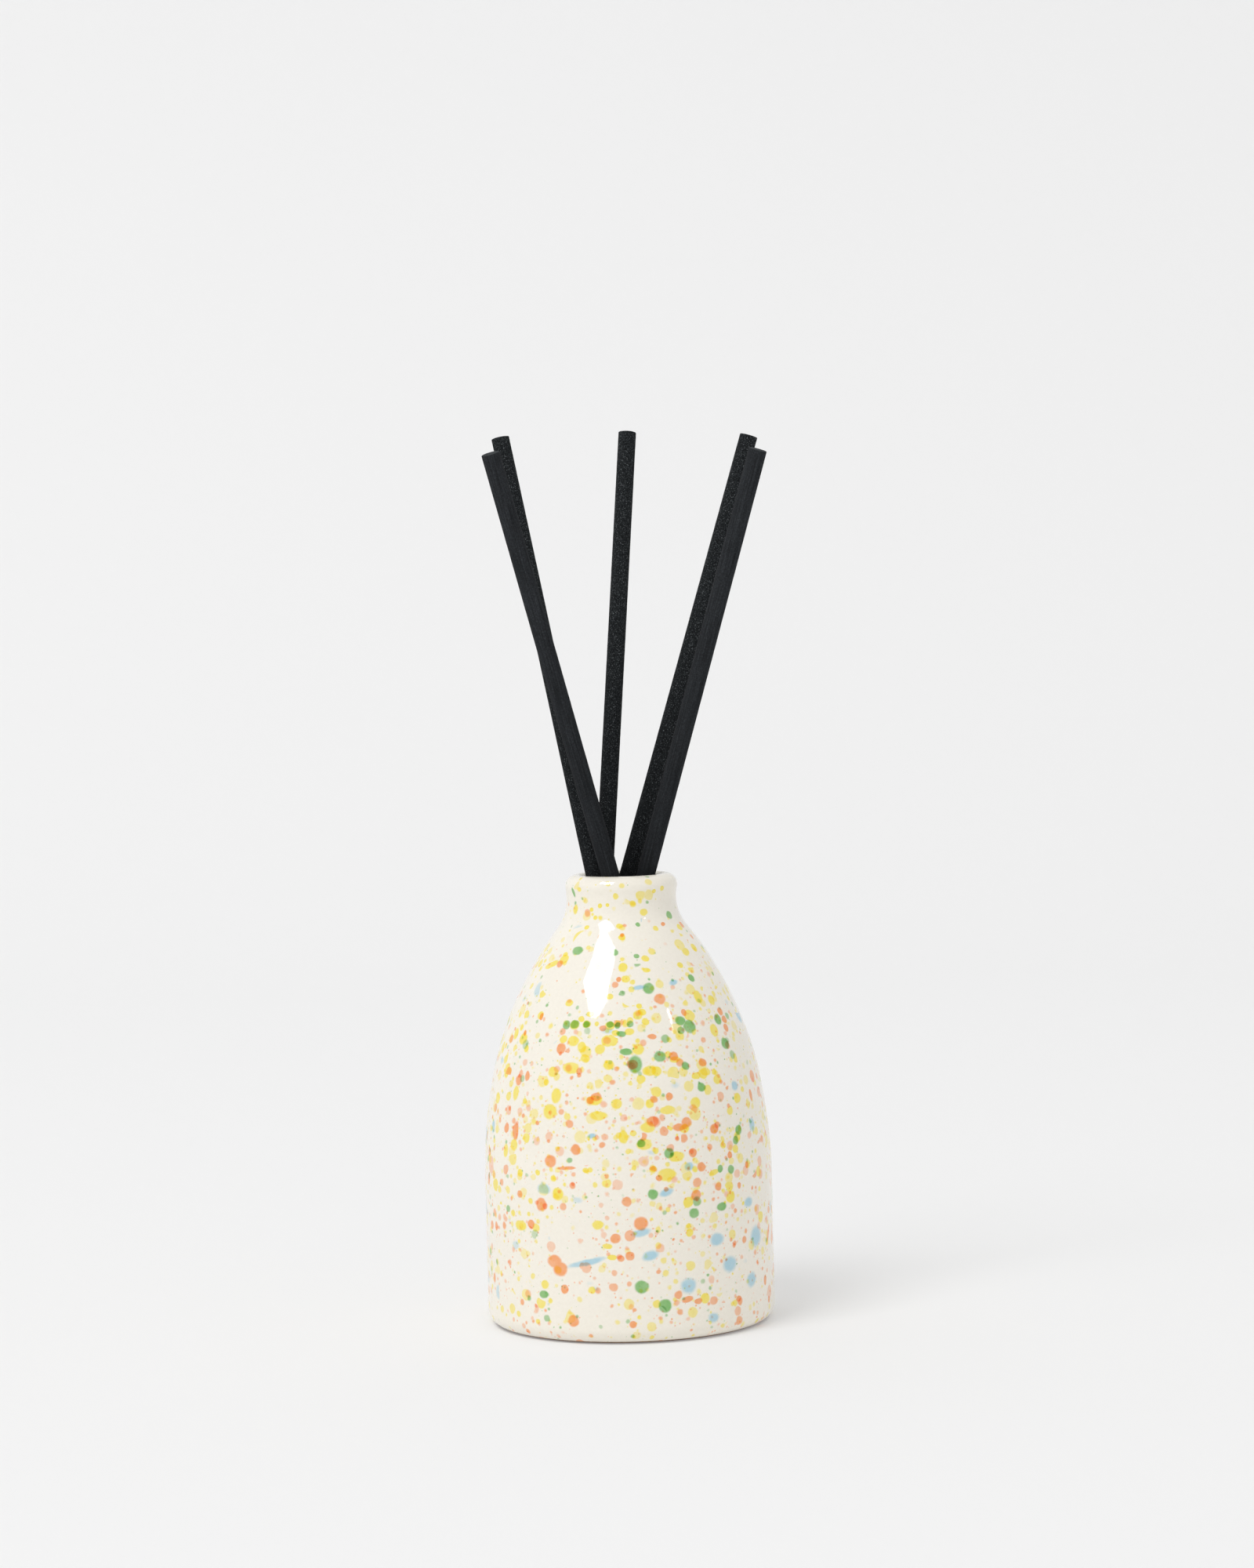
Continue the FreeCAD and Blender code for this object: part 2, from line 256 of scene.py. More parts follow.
def bottleOutline():
    b, shape, steps = bottle, bottleArcs(), bottle["steps"]
    side, wall, recess = b["bodyRadius"], b["wall"], b["footRecess"]
    footOut = side - b["footRound"]
    footIn = footOut - b["footLand"]
    turn, highEnd = b["shoulderTurn"], shape["highEnd"]
    lowR, highR = b["shoulderRadius"], shape["highRadius"]
    mouth = shape["lip"][0] - b["mouthRound"]
    mouthTop = b["lipHeight"] + b["lipRound"] - b["mouthRound"]
    inner = side - wall
    # underneath, from the middle out
    rows = [(out, recess) for out in (b["pole"], *b["recessRings"])]
    rows += [(footIn - recess + out, recess + up) for out, up in b["slopeTop"]]
    rows += [(footIn + out, up) for out, up in b["slopeFoot"]]
    rows += [(footIn + b["footLand"] / 2, 0.0)]
    # up the outside
    rows += arc((footOut, b["footRound"]), b["footRound"], -90, 0, steps["foot"])
    rows += [(side, up) for up in b["sideRings"]]
    rows += arc(shape["low"], lowR, 0, turn, steps["low"])
    rows += arc(shape["high"], highR, turn, highEnd, steps["high"])[1:]
    rows += arc(shape["neck"], b["neckRadius"], 180 + highEnd, 180 + shape["lipStart"], steps["neck"])[1:]
    rows += arc(shape["lip"], b["lipRound"], shape["lipStart"], 90, steps["lip"])[1:]
    # over the lip and down the inside
    rows += arc((shape["lip"][0], mouthTop), b["mouthRound"], 90, 180, steps["mouth"])[1:]
    rows += [(mouth, up) for up in b["mouthRings"]]
    rows += arc(shape["neck"], b["neckRadius"] + wall, 180, 180 + highEnd, steps["neckIn"])
    rows += arc(shape["high"], highR - wall, highEnd, turn, steps["highIn"])[1:]
    rows += arc(shape["low"], lowR - wall, turn, 0, steps["lowIn"])[1:]
    rows += [(inner, up) for up in b["insideRings"]]
    corner = (inner - b["floorRound"], b["floorTop"] + b["floorRound"])
    rows += arc(corner, b["floorRound"], 0, -90, steps["floor"])
    rows += [(out, b["floorTop"]) for out in (*b["floorRings"], b["pole"])]
    return rows


def castBottle():
    piece = turnShape("bottle_shell", bottleOutline(), bottle["sides"])
    # the finished wall wanders a little, above the foot and outside only
    bpy.ops.object.mode_set(mode="EDIT")
    halfWall = bottle["wall"] / 2
    lowest, highest = bottle["unevenFrom"]

    def outside(v):
        height = v.co.z / mm
        if not lowest < height < highest:
            return False
        return math.hypot(v.co.x, v.co.y) / mm > outsideRadius(height) - halfWall

    pick(piece, "verts", outside)
    group = piece.vertex_groups.new(name="unevenWall")
    bpy.ops.object.vertex_group_assign()
    bpy.ops.mesh.select_all(action="SELECT")
    bpy.ops.object.vertex_group_smooth(group_select_mode="ACTIVE", factor=0.5, repeat=bottle["unevenFade"])
    bpy.ops.object.mode_set(mode="OBJECT")
    waves = bpy.data.textures.new("wallWaves", "CLOUDS")
    waves.noise_scale = bottle["unevenLength"] * mm
    waves.noise_depth = 1
    swell = piece.modifiers.new("unevenWall", "DISPLACE")
    swell.texture = waves
    swell.texture_coords = "LOCAL"
    swell.vertex_group = group.name
    swell.mid_level = 0.5
    swell.strength = bottle["unevenness"] * mm
    bpy.ops.object.modifier_apply(modifier=swell.name)
    return piece


# glaze: cream gloss stoneware glaze, splattered with coloured stains

glaze = {
    "cream": "#F9F4E8",
    "creamThin": "#F1EBDE",      # where the glaze runs thinner over the clay
    "inks": {"yellow": "#FFF068", "green": "#84C577", "coral": "#FFAC70", "blue": "#B2DFFB"},
    "edge": {"yellow": 1.5, "green": 1.6, "coral": 1.5, "blue": 2.8},      # how softly each stain ends
    "clumps": {"yellow": 0, "green": 1, "coral": 2, "blue": 1},    # the patch pattern each stain follows
    "placedEdge": (0.1, 0.14),   # how far a placed drop fades out and in, as shares of its radius
    "thrownEdge": (0.3, 0.9),    # the same for a random drop, as shares of its edge
    "aside": 0.12,               # how far a drop moves where it lands on an earlier one
    "roughness": 0.06,
    "ior": 1.5,
    "ripple": 2.0,               # the drops' outlines run in ripples of this length
    "run": 0.6,                  # and this far, side to side
    "clouding": 2.4,
    "cloudNoise": (0.3, 0.7),    # the stretch of the noise that is used
    "cloudDepth": (0.82, 1.0),
    "patches": 14.0,
    "patchNoise": (0.38, 0.62),
    "patchDepth": (0.45, 1.45),
    "mottle": 0.7,
    "waves": 5.0,                # orange peel
    "waveDepth": 0.12,
    "bite": (0.5, 1.0),          # palest and strongest random drop
    "smallness": 1.7,            # above 1, small random drops are commoner than big ones
    "scatter": 0.85,             # how far the random drops stray from an even spacing
    "edgeShare": 0.4,            # a random drop's edge, as a share of its layer's biggest radius
    "edgeMost": 0.2,             # but no wider than this
    "layerShift": (0.31, 0.17, 0.23),    # each layer is moved and turned, so that no two line up
    "layerTurn": 0.4,
    "layerTip": 0.25,
    "backFrom": (-17, -8),       # the big random drops fade in over this stretch, front to back
    # drops big enough to be set one by one: bearing in degrees, height, width, tallness, tilt
    "placed": [
        ("yellow", [
            (0, 81.7, 2.2, 2.4), (0, 88, 1.7, 1.7), (-56, 66, 3.0, 2.8), (-30, 66.6, 2.0, 1.8),
            (-24.5, 66.3, 3.0, 2.3), (-20, 65, 2.1, 2.6), (-11.5, 64.6, 2.3, 2.4), (6, 64.5, 2.7, 2.7),
            (-33, 59.6, 2.7, 2.4), (-24.5, 60.6, 4.0, 2.5), (-18, 62.6, 2.3, 1.8), (-7.3, 61.3, 2.3, 2.2),
            (10.3, 59.8, 3.1, 2.2), (-33, 51, 3.6, 3.4), (-30.5, 54.5, 2.6, 3.4), (-13, 53.7, 3.4, 2.2),
            (-11.4, 50.4, 4.1, 2.1), (-4, 53, 2.6, 2.3), (9.6, 52.8, 2.0, 2.0), (17, 51.2, 3.8, 1.9),
            (29.5, 52.2, 2.6, 2.6), (53, 52, 2.6, 2.4), (6.7, 44, 3.6, 2.5), (-1.5, 45.8, 2.2, 3.0),
            (15.2, 37.2, 4.3, 2.8), (-28.5, 33.2, 2.8, 3.0), (-47.6, 25.4, 3.8, 2.4), (-52, 43, 2.6, 2.8),
            (-54, 82, 4.6, 1.5, 20), (-12.3, 26.7, 2.6, 2.2), (43.7, 30.8, 2.8, 2.6), (30, 9.3, 2.5, 2.3),
            (44, 74.5, 2.4, 3.2)]),
        ("yellow", [
            (-48, 98.3, 1.5, 1.2), (-5.5, 96.9, 1.4, 1.4), (11.5, 95.2, 1.5, 1.2), (23, 93.1, 1.8, 1.7),
            (-32, 93.9, 1.1, 1.1), (-22.7, 94.8, 1.1, 1.1), (-14.5, 95, 0.9, 0.9), (-26.7, 92.2, 1.1, 1.0),
            (30, 99.8, 1.4, 1.4), (47, 98.1, 1.3, 1.3), (36, 97.6, 1.1, 1.0), (-34, 90, 1.2, 1.1),
            (-2, 90.3, 1.7, 1.3), (31.5, 89.5, 1.4, 1.5), (62, 89.2, 2.0, 1.6), (15.8, 83.5, 1.9, 1.5, -20),
            (15, 81, 1.8, 1.2), (39.8, 81.5, 1.7, 1.5), (-44.7, 84.3, 1.5, 1.2), (-30.4, 74.2, 1.8, 1.6),
            (-7.5, 75.7, 1.7, 1.4), (8, 73.5, 1.5, 1.4), (9.3, 72.2, 1.8, 1.6), (10.4, 70.2, 1.8, 1.7),
            (63, 84.6, 2.1, 2.0), (-17.4, 72, 1.8, 1.3), (-21.8, 71, 1.6, 1.5), (-25, 69.7, 2.3, 2.2),
            (-18.7, 69.9, 2.0, 1.8), (-7, 69.6, 2.3, 2.1), (3, 70.6, 1.6, 1.5), (-4.2, 68, 1.7, 1.5),
            (-47.5, 71.3, 2.0, 1.9), (-13.5, 70, 1.2, 1.2), (1.6, 79.3, 1.9, 1.7)]),
        ("blue", [
            (23, 12.5, 3.7, 3.4), (42.6, 16, 4.0, 3.6), (59.5, 20.8, 4.4, 4.8), (36.2, 21.9, 3.6, 2.8),
            (4.6, 24.8, 4.2, 1.7, 12), (-17.2, 18.3, 9.0, 1.4, 14), (8, 19.7, 3.6, 2.2, 15),
            (55.5, 11.5, 3.6, 3.3), (33.7, 4.8, 2.8, 2.2), (54.7, 28.8, 3.2, 2.2),
            (14.8, 33.4, 3.2, 1.7, 15), (9, 77.4, 3.0, 1.0, 8), (30.5, 78, 2.2, 1.1, 15),
            (-14, 46, 1.9, 1.2, 10),
            (52.6, 54.7, 2.2, 2.0), (61.5, 45.5, 2.4, 3.2), (-71, 46, 2.0, 3.0), (24.6, 38.6, 2.2, 1.8)]),
        ("yellow", [
            (-69, 52.4, 2.6, 2.6), (-64, 58.7, 2.6, 3.4), (-68, 61, 2.2, 2.2), (-53.8, 54.3, 2.0, 3.4),
            (-51.6, 64, 1.6, 1.6), (-64, 66.8, 2.0, 2.8), (-57.5, 41.5, 2.0, 3.0), (-47.3, 52.8, 1.4, 1.4),
            (-36, 57.2, 1.6, 1.6), (-47.4, 37.1, 1.8, 1.8), (-38, 37.6, 1.4, 1.4), (-16.6, 38.6, 1.4, 1.3),
            (-8.7, 22, 2.2, 1.2), (-7, 19.5, 2.2, 1.4), (2.4, 68.2, 2.2, 1.6), (2.5, 46.5, 1.5, 1.4),
            (8.3, 47.7, 3.4, 2.4), (9.9, 38.6, 1.8, 1.3), (13.5, 59.6, 2.3, 2.1), (19.5, 41, 3.6, 2.3),
            (22.5, 61.8, 2.6, 1.4), (23.4, 46.9, 2.4, 2.0), (24, 24.1, 1.7, 1.8), (31.5, 58, 2.4, 1.5),
            (36.5, 58.6, 2.8, 1.7), (42.4, 56.7, 2.5, 2.1), (35.5, 36.7, 2.8, 1.3, 15), (41, 42.4, 1.7, 1.6),
            (48, 41.2, 1.8, 2.0), (47.6, 67.1, 2.4, 3.0), (53.4, 73.4, 2.2, 2.6), (57, 60.5, 1.6, 2.2)]),
        ("green", [
            (16.5, 41.8, 2.3, 2.2), (-34.6, 85.2, 2.8, 2.1), (-6, 84.9, 1.9, 1.8), (14.5, 77.2, 2.7, 2.6),
            (28.7, 69.9, 2.5, 2.2), (33, 68.5, 3.2, 3.0),
            (52.5, 63.9, 2.6, 2.8), (52.8, 69.2, 2.6, 2.4), (4.3, 61.3, 3.1, 4.0),
            (15.6, 62.7, 2.7, 2.6), (0.5, 64, 2.8, 1.7), (-29.5, 69.6, 2.0, 2.1), (-25, 69.8, 2.2, 2.0),
            (-18.7, 69.8, 1.7, 1.6), (-7, 69.8, 1.7, 1.6), (-3.2, 69.6, 1.4, 1.4), (2.9, 69.8, 1.6, 1.5),
            (-1.5, 67.8, 2.2, 1.5), (33.4, 55.5, 2.2, 2.2), (51, 45.1, 2.3, 2.4), (48.5, 43, 1.9, 1.8),
            (44.5, 36.8, 2.0, 2.0), (38.8, 37.3, 1.7, 1.8), (9.4, 33.1, 2.4, 2.4), (26.1, 28.3, 2.5, 2.3),
            (38.9, 29, 3.0, 1.9), (4.2, 12.9, 3.1, 3.0), (13.2, 8.5, 3.0, 3.1), (-36.2, 10.7, 2.7, 1.7),
            (55, 92, 2.2, 1.9), (27, 60.3, 1.9, 1.9), (5.5, 44.2, 2.0, 1.8), (-59, 97.5, 1.0, 2.4, 20),
            (15, 90.6, 1.1, 1.1), (9.6, 84, 1.4, 1.2), (44.3, 78.6, 1.8, 1.9)]),
        ("coral", [
            (-30.5, 64.6, 2.5, 2.6), (19.8, 74.8, 2.8, 2.5), (57, 70.8, 1.8, 1.9), (58, 69, 1.8, 1.9),
            (57, 67.2, 1.7, 2.0), (3, 61.2, 2.4, 2.2), (22, 62.5, 2.2, 2.2), (36, 60.7, 2.1, 2.0),
            (-53, 57.2, 2.3, 2.6), (-47.5, 58.3, 1.5, 2.4), (10.3, 48.9, 2.9, 2.3), (24.6, 48.2, 2.5, 2.4),
            (21.5, 47.3, 3.6, 1.7), (37.3, 46.2, 2.4, 2.2), (-51.3, 46, 2.2, 4.0), (-58, 46.4, 2.0, 2.4),
            (-20.7, 43, 2.4, 2.4), (-32, 40.2, 3.0, 2.8), (-24.8, 38.9, 4.6, 0.8, 4), (26.5, 41.5, 2.0, 2.0),
            (30, 38.3, 2.2, 2.1), (-36.4, 30.6, 2.9, 3.0), (4.6, 26.8, 3.1, 3.0), (-5.5, 23.7, 2.4, 2.3),
            (-31, 18.2, 3.6, 3.0), (-28.3, 16.6, 3.6, 3.3), (0, 19.8, 2.1, 2.0), (-23.1, 5.3, 2.7, 2.6),
            (-41.9, 26, 2.1, 2.1), (37.5, 33.5, 1.9, 1.9), (22.4, 9.5, 2.9, 1.4, 12),
            (-26.7, 12.3, 2.0, 2.0),
            (18, 54, 1.8, 1.8), (-15, 53.6, 1.7, 1.7), (41.5, 90.3, 1.3, 1.0), (-2.6, 79.2, 1.2, 1.2),
            (31.9, 71.5, 1.5, 1.7), (-10.3, 69, 1.5, 1.3), (13, 67, 2.2, 1.2), (-46.5, 71, 1.3, 1.6)]),
        ("coral", [
            (67, 10.3, 1.7, 2.4), (72, 20.4, 1.5, 4.2, -25), (54.6, 37.1, 1.6, 1.6), (64, 51.9, 1.5, 2.8),
            (44.5, 40, 1.6, 1.6), (49, 33, 1.3, 1.6), (12, 36.6, 1.6, 1.4), (-12.5, 54.4, 2.4, 2.0),
            (27, 8.8, 1.9, 1.3), (47, 8, 1.7, 1.5), (-3.6, 19.2, 1.7, 1.4), (-66, 24, 1.6, 2.2),
            (-70, 12, 1.6, 2.2), (-74, 34, 1.6, 3.0)]),
    ],
    # the rest is thrown at random: spacing of the drops, their radii, and the share of places filled
    "thrown": [
        {"ink": "yellow", "spacing": 7.0, "radius": (0.9, 2.4), "filled": 1.2, "backOnly": True},
        {"ink": "green", "spacing": 7.0, "radius": (0.9, 2.2), "filled": 1.3, "backOnly": True},
        {"ink": "coral", "spacing": 7.5, "radius": (0.9, 2.2), "filled": 0.9, "backOnly": True},
        {"ink": "blue", "spacing": 8.0, "radius": (1.0, 2.5), "filled": 1.1, "backOnly": True},
        {"ink": "yellow", "spacing": 3.2, "radius": (0.65, 1.6), "filled": 1.8},
        {"ink": "coral", "spacing": 3.3, "radius": (0.5, 1.35), "filled": 1.2},
        {"ink": "green", "spacing": 4.0, "radius": (0.45, 1.2), "filled": 0.45},
        {"ink": "blue", "spacing": 4.6, "radius": (0.5, 1.3), "filled": 0.3, "stretch": 2.0},
        {"ink": "yellow", "spacing": 2.0, "radius": (0.35, 0.8), "filled": 1.3},
        {"ink": "coral", "spacing": 2.0, "radius": (0.22, 0.65), "filled": 0.75},
        {"ink": "green", "spacing": 2.2, "radius": (0.2, 0.6), "filled": 0.5},
        {"ink": "coral", "spacing": 1.15, "radius": (0.1, 0.3), "filled": 0.45},
        {"ink": "yellow", "spacing": 1.0, "radius": (0.1, 0.3), "filled": 0.65},
        {"ink": "green", "spacing": 1.1, "radius": (0.08, 0.26), "filled": 0.35},
    ],
    # how thickly each stain was thrown, from foot to lip
    "byHeight": {
        "yellow": [(0.0, 0.2), (0.2, 0.24), (0.36, 0.7), (0.5, 1.0), (0.6, 0.75), (0.72, 0.36), (1.0, 0.25)],
        "green": [(0.0, 0.7), (0.3, 0.65), (0.45, 0.55), (0.6, 1.0), (0.75, 0.9), (0.85, 0.4), (1.0, 0.25)],
        "coral": [(0.0, 1.0), (0.3, 1.0), (0.5, 0.95), (0.65, 0.65), (0.75, 0.4), (0.88, 0.15), (1.0, 0.1)],
        "blue": [(0.0, 0.9), (0.3, 1.0), (0.5, 0.5), (0.75, 0.3), (1.0, 0.0)],
    },
}


def splatterGlaze():
    # stoneware gloss glaze with flicked stains: glassy, with soft-edged drops that darken where they overlap
    material, tree = newMaterial("splatteredGlossGlaze")
    place = addNode(tree, "TexCoord").outputs["Object"]
    height = addNode(tree, "SeparateXYZ", inputs={0: place})
    top = (bottle["lipHeight"] + bottle["lipRound"]) * mm
    upward = addNode(tree, "Math", {"operation": "MULTIPLY"}, {0: height.outputs["Z"], 1: 1 / top})

    # the drops' outlines run a little in the firing
    ripple = addNode(tree, "TexNoise", inputs={
        "Vector": place, "Scale": 1 / (glaze["ripple"] * mm), "Detail": 2.0})
    run = addNode(tree, "VectorMath", {"operation": "MULTIPLY_ADD"},
                  {0: ripple.outputs["Color"], 1: (glaze["run"] * mm,) * 3, 2: place})
    soft = addNode(tree, "VectorMath", {"operation": "SUBTRACT"},
                   {0: run.outputs["Vector"], 1: (glaze["run"] / 2 * mm,) * 3})
    smeared = soft.outputs["Vector"]

    # clouding inside a drop, where the stain sank unevenly
    cloud = addNode(tree, "TexNoise", inputs={
        "Vector": place, "Scale": 1 / (glaze["clouding"] * mm), "Detail": 3.0})
    low, high = glaze["cloudNoise"]
    least, most = glaze["cloudDepth"]
    clouding = addNode(tree, "MapRange", inputs={
        "Value": cloud.outputs[0], "From Min": low, "From Max": high, "To Min": least, "To Max": most})

    # the brush was flicked unevenly: thick and thin patches
    patch = addNode(tree, "TexNoise", inputs={
        "Vector": place, "Scale": 1 / (glaze["patches"] * mm), "Detail": 1.0})
    patches = addNode(tree, "SeparateColor", inputs={0: patch.outputs["Color"]})

    # cream ground, finely mottled
    mottle = addNode(tree, "TexNoise", inputs={
        "Vector": place, "Scale": 1 / (glaze["mottle"] * mm), "Detail": 3.0})
    ground = addNode(tree, "Mix", {"data_type": "RGBA"}, {
        0: mottle.outputs[0], 6: toLinear(glaze["creamThin"]), 7: toLinear(glaze["cream"])})
    colour = ground.outputs[2]

    thickness = {}
    low, high = glaze["patchNoise"]
    least, most = glaze["patchDepth"]
    for ink, stops in glaze["byHeight"].items():
        ramp = addNode(tree, "ValToRGB", inputs={0: upward.outputs[0]})
        setStops(ramp, stops)
        clump = addNode(tree, "MapRange", inputs={
            "Value": patches.outputs[glaze["clumps"][ink]], "From Min": low, "From Max": high,
            "To Min": least, "To Max": most})
        thickness[ink] = addNode(tree, "Math", {"operation": "MULTIPLY"},
                                 {0: ramp.outputs[0], 1: clump.outputs[0]}).outputs[0]
    none, full = glaze["backFrom"]
    back = addNode(tree, "MapRange", inputs={
        "Value": height.outputs["Y"], "From Min": none * mm, "From Max": full * mm})

    for number, layer in enumerate(glaze["thrown"]):
        stretch = layer.get("stretch", 1)
        moved = addNode(tree, "Mapping", inputs={
            "Vector": smeared, "Location": [shift * number for shift in glaze["layerShift"]],
            "Rotation": (0, glaze["layerTip"], glaze["layerTurn"] * number), "Scale": (1 / stretch, 1, 1)})
        cells = addNode(tree, "TexVoronoi", inputs={
            "Vector": moved.outputs[0], "Scale": 1 / (layer["spacing"] * mm),
            "Randomness": glaze["scatter"]})
        chance = addNode(tree, "SeparateColor", inputs={0: cells.outputs["Color"]})
        far = addNode(tree, "Math", {"operation": "MULTIPLY"},
                      {0: cells.outputs["Distance"], 1: layer["spacing"]})
        lean = addNode(tree, "Math", {"operation": "POWER"}, {0: chance.outputs[0], 1: glaze["smallness"]})
        least, most = layer["radius"]
        radius = addNode(tree, "MapRange", inputs={
            "Value": lean.outputs[0], "To Min": least, "To Max": most})
        filled = addNode(tree, "Math", {"operation": "MULTIPLY"}, {
            0: thickness[layer["ink"]], 1: layer["filled"]})
        if layer.get("backOnly"):
            filled = addNode(tree, "Math", {"operation": "MULTIPLY"}, {
                0: filled.outputs[0], 1: back.outputs[0]})
        here = addNode(tree, "Math", {"operation": "LESS_THAN"}, {
            0: chance.outputs[1], 1: filled.outputs[0]})
        depth = addNode(tree, "Math", {"operation": "SUBTRACT"}, {
            0: radius.outputs[0], 1: far.outputs[0]})
        edge = min(glaze["edgeMost"], most * glaze["edgeShare"]) * glaze["edge"][layer["ink"]]
        fadeOut, fadeIn = glaze["thrownEdge"]
        inside = addNode(tree, "MapRange", {"interpolation_type": "SMOOTHSTEP"}, {
            "Value": depth.outputs[0], "From Min": -fadeOut * edge, "From Max": fadeIn * edge})
        palest, strongest = glaze["bite"]
        bite = addNode(tree, "MapRange", inputs={
            "Value": chance.outputs[2], "To Min": palest, "To Max": strongest})
        strength = inside.outputs[0]
        for factor in (here.outputs[0], bite.outputs[0], clouding.outputs[0]):
            strength = addNode(tree, "Math", {"operation": "MULTIPLY"}, {0: strength, 1: factor}).outputs[0]
        stain = addNode(tree, "Mix", {"data_type": "RGBA", "blend_type": "MULTIPLY"}, {
            0: strength, 6: colour, 7: toLinear(glaze["inks"][layer["ink"]])})
        colour = stain.outputs[2]

    fadeOut, fadeIn = glaze["placedEdge"]
    for ink, drops in glaze["placed"]:
        # each group is set on the colour so far, which also keeps the groups apart in the renderer's memory
        landing = addNode(tree, "VectorMath", {"operation": "MULTIPLY_ADD"},
                          {0: colour, 1: (glaze["aside"] * mm,) * 3, 2: smeared})
        nearest = None
        for bearing, up, wide, tall, *tilt in drops:
            angle = math.radians(bearing)
            reach = outsideRadius(up) * mm
            drop = addNode(tree, "Mapping", {"vector_type": "TEXTURE"}, {
                "Vector": landing.outputs["Vector"],
                "Location": (reach * math.sin(angle), -reach * math.cos(angle), up * mm),
                "Rotation": (0, math.radians(-tilt[0]) if tilt else 0, angle),
                "Scale": (wide / 2 * mm, max(wide, tall) / 2 * mm, tall / 2 * mm)})
            size = addNode(tree, "VectorMath", {"operation": "LENGTH"}, {0: drop.outputs[0]})
            if nearest is None:
                nearest = size.outputs["Value"]
            else:
                nearest = addNode(tree, "Math", {"operation": "MINIMUM"},
                                  {0: nearest, 1: size.outputs["Value"]}).outputs[0]
        inside = addNode(tree, "MapRange", {"interpolation_type": "SMOOTHSTEP"},
                         {"Value": nearest, "From Min": 1 + fadeOut * glaze["edge"][ink],
                          "From Max": 1 - fadeIn * glaze["edge"][ink]})
        strength = addNode(tree, "Math", {"operation": "MULTIPLY"},
                           {0: inside.outputs[0], 1: clouding.outputs[0]})
        stain = addNode(tree, "Mix", {"data_type": "RGBA", "blend_type": "MULTIPLY"}, {
            0: strength.outputs[0], 6: colour, 7: toLinear(glaze["inks"][ink])})
        colour = stain.outputs[2]

    # orange peel of a fired gloss glaze, deep enough to make the edges of a reflection wander
    waves = addNode(tree, "TexNoise", inputs={
        "Vector": place, "Scale": 1 / (glaze["waves"] * mm), "Detail": 1.0})
    bump = addNode(tree, "Bump", inputs={
        "Strength": 0.6, "Distance": glaze["waveDepth"] * mm, "Height": waves.outputs[0]})
    shader = addNode(tree, "BsdfPrincipled", inputs={
        "Base Color": colour, "Roughness": glaze["roughness"], "IOR": glaze["ior"],
        "Normal": bump.outputs[0]})
    finishMaterial(tree, shader)
    return material


liner = {"colours": ("#E9E4D4", "#F1EDDF"), "mottle": 1.5, "roughness": 0.12}


def linerGlaze():
    # plain cream liner glaze inside, poured: glassy and even
    material, tree = newMaterial("creamLinerGlaze")
    place = addNode(tree, "TexCoord").outputs["Object"]
    mottle = addNode(tree, "TexNoise", inputs={
        "Vector": place, "Scale": 1 / (liner["mottle"] * mm), "Detail": 3.0})
    thin, thick = liner["colours"]
    ground = addNode(tree, "Mix", {"data_type": "RGBA"}, {
        0: mottle.outputs[0], 6: toLinear(thin), 7: toLinear(thick)})
    bump = addNode(tree, "Bump", inputs={"Strength": 0.2, "Distance": 0.1 * mm, "Height": mottle.outputs[0]})
    shader = addNode(tree, "BsdfPrincipled", inputs={
        "Base Color": ground.outputs[2], "Roughness": liner["roughness"], "IOR": glaze["ior"],
        "Normal": bump.outputs[0]})
    finishMaterial(tree, shader)
    return material


# bare clay tones, darkened to paint the thin contact shadow line along the foot
footClayShade = {"tones": [(0.28, "#5E4A3C"), (0.45, "#866B56"), (0.7, "#9C8069")], "grog": 0.5, "roughness": 0.85}


def shadedBareClay():
    # unglazed foot: bare fired stoneware, dry and rough, with dark grog specks; its tones are darkened to
    # paint the contact shadow along the foot
    material, tree = newMaterial("bareClayPaintedShadow")
    place = addNode(tree, "TexCoord").outputs["Object"]
    grog = addNode(tree, "TexNoise", inputs={
        "Vector": place, "Scale": 1 / (footClayShade["grog"] * mm), "Detail": 4.0})
    ramp = addNode(tree, "ValToRGB", inputs={0: grog.outputs[0]})
    setStops(ramp, footClayShade["tones"])
    bump = addNode(tree, "Bump", inputs={"Strength": 0.5, "Distance": 0.1 * mm, "Height": grog.outputs[0]})
    shader = addNode(tree, "BsdfPrincipled", inputs={
        "Base Color": ramp.outputs[0], "Roughness": footClayShade["roughness"], "IOR": 1.5,
        "Normal": bump.outputs[0]})
    finishMaterial(tree, shader)
    return material


shell = castBottle()
for finish in (splatterGlaze(), linerGlaze(), shadedBareClay()):
    shell.data.materials.append(finish)
for face in shell.data.polygons:
    out, up = math.hypot(face.center.x, face.center.y) / mm, face.center.z / mm
    recess = up < bottle["footRecess"] + 0.1 and out < bottle["bodyRadius"] - bottle["footRound"]
    within = out < outsideRadius(min(up, bottle["linerUpTo"] - 1)) - bottle["linerDepth"]
    # the bare band at the foot carries the painted contact shadow
    if up < bottle["bareShadeUpTo"] or recess:
        face.material_index = 2
    elif bottle["floorTop"] - 0.2 < up < bottle["linerUpTo"] and within:
        face.material_index = 1
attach(shell, "bottle")
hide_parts("vessel")
print("bottle cast and glazed:", len(shell.data.polygons), "faces")


# fragrance oil, a clear pale amber liquid that creeps up the wall at its edge

oil = {
    "level": 44.0,
    "gap": 0.3,
    "creep": 0.9,
    "meniscus": ((0.35, 0.42), (0.9, 0.13), (1.8, 0.0)),     # in from the wall, up from the level
    "sideRings": (12, 18, 24),
    "surfaceRings": (20, 10),
    "colours": ("#F2D590", "#F6DDA0"),
    "haze": 18.0,
    "roughness": 0.03,
    "ior": 1.42,
    "clearness": 0.9,
    "sides": 128,
    "steps": 8,
}


